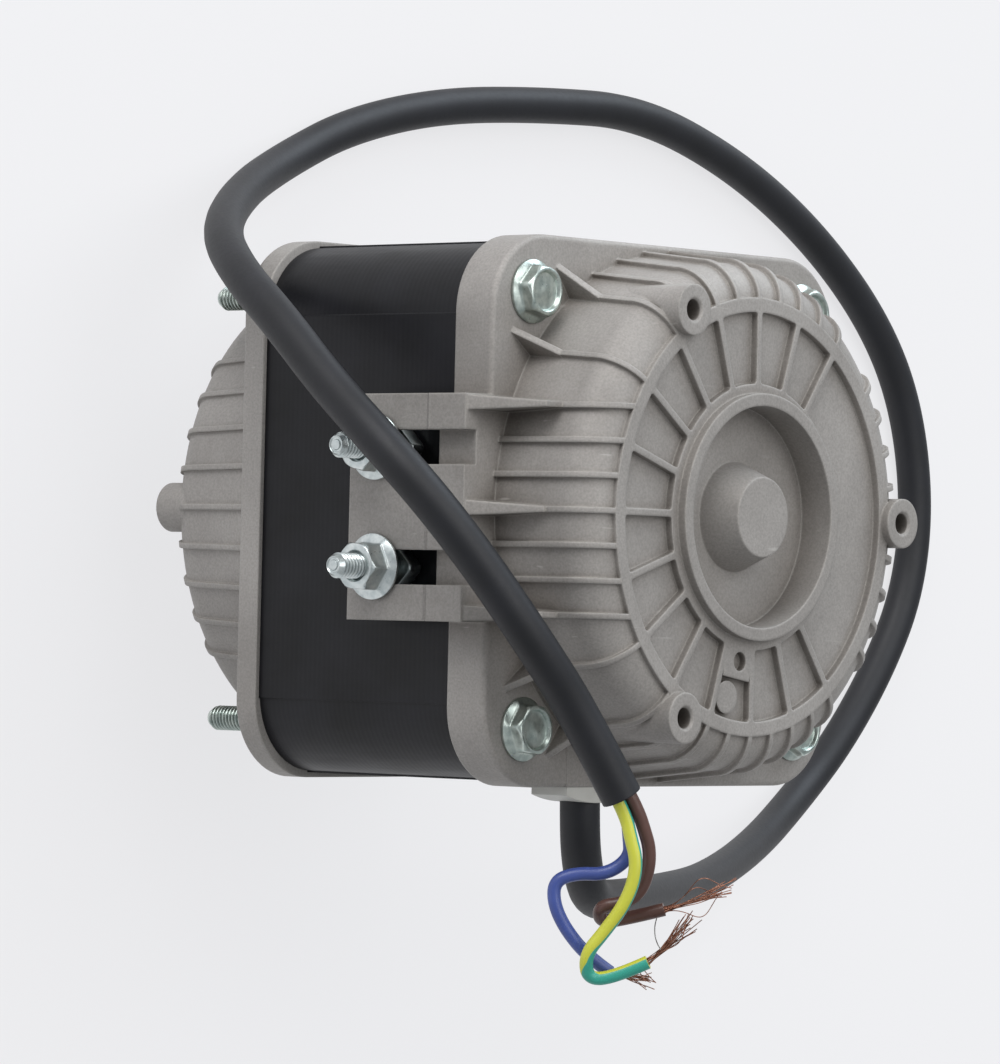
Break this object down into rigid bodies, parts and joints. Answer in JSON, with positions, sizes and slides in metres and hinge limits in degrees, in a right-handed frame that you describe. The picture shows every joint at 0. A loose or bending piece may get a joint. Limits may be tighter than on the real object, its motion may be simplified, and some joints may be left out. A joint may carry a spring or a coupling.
{
  "type": "fan motor",
  "caption": "Square-frame shaded-pole fan motor with ribbed end covers, a clamp foot, a fan hub and a three-core lead with bared ends.",
  "frame": {"origin": "on the shaft's axis, in the end face of the fan hub's spigot, which the motor stands on", "axes": "+Z along the shaft from the fan hub to the blind rear cover, -Y to the foot, +X to the lead's grommet"},
  "size_m": [0.1545, 0.254, 0.1195],
  "materials": {
    "cast_aluminium": "as cast, satin",
    "black_laminations": "black varnish, satin",
    "zinc_steel": "bright zinc plate",
    "grey_plastic": "moulded, matt",
    "black_sheath": "matt",
    "green_yellow_insulation": "two-colour stripe, satin",
    "brown_insulation": "satin",
    "blue_insulation": "satin",
    "copper": "bare copper",
    "enamelled_wire": "enamelled copper",
    "white_plastic": "moulded, matt",
    "rotor_steel": "turned",
    "ground_steel": "ground",
    "sintered_bronze": "oiled",
    "oil_felt": "felt",
    "hub_aluminium": "turned"
  },
  "bodies": {
    "housing": {"rear_cover": "cast_aluminium", "front_cover": "cast_aluminium", "stator_core": "black_laminations", "through_screws": "zinc_steel", "through_nuts": "zinc_steel", "cable_grommet": "grey_plastic", "power_cord": "black_sheath", "earth_conductor": "green_yellow_insulation", "live_conductor": "brown_insulation", "neutral_conductor": "blue_insulation", "earth_strands": "copper", "live_strands": "copper", "neutral_strands": "copper", "coil_1": "enamelled_wire", "coil_2": "enamelled_wire", "coil_3": "enamelled_wire", "coil_4": "enamelled_wire", "bobbin_1": "white_plastic", "bobbin_2": "white_plastic", "bobbin_3": "white_plastic", "bobbin_4": "white_plastic", "shading_ring_1": "copper", "shading_ring_2": "copper", "shading_ring_3": "copper", "shading_ring_4": "copper", "front_bearing": "sintered_bronze", "rear_bearing": "sintered_bronze", "front_retainer": "zinc_steel", "rear_retainer": "zinc_steel", "front_felt": "oil_felt", "rear_felt": "oil_felt"},
    "rotor": {"shaft": "ground_steel", "rotor_core": "rotor_steel", "rotor_cage": "cast_aluminium", "front_spacer": "ground_steel", "rear_spacer": "ground_steel", "fan_hub": "hub_aluminium", "hub_screw": "zinc_steel"},
    "left_clamp": {"foot_bolt_left": "zinc_steel", "foot_nut_left": "zinc_steel"},
    "right_clamp": {"foot_bolt_right": "zinc_steel", "foot_nut_right": "zinc_steel"}
  },
  "joints": [
    {"name": "rotor_spin", "type": "hinge", "parent": "housing", "child": "rotor", "pos_m": [0, 0, 0.064], "axis": [0, 0, 1], "continuous": true},
    {"name": "left_clamp_slide", "type": "slide", "parent": "housing", "child": "left_clamp", "axis": [0, 0, 1], "range_m": [-0.0015, 0.0055]},
    {"name": "right_clamp_slide", "type": "slide", "parent": "housing", "child": "right_clamp", "axis": [0, 0, 1], "range_m": [-0.0015, 0.0055]}
  ]
}
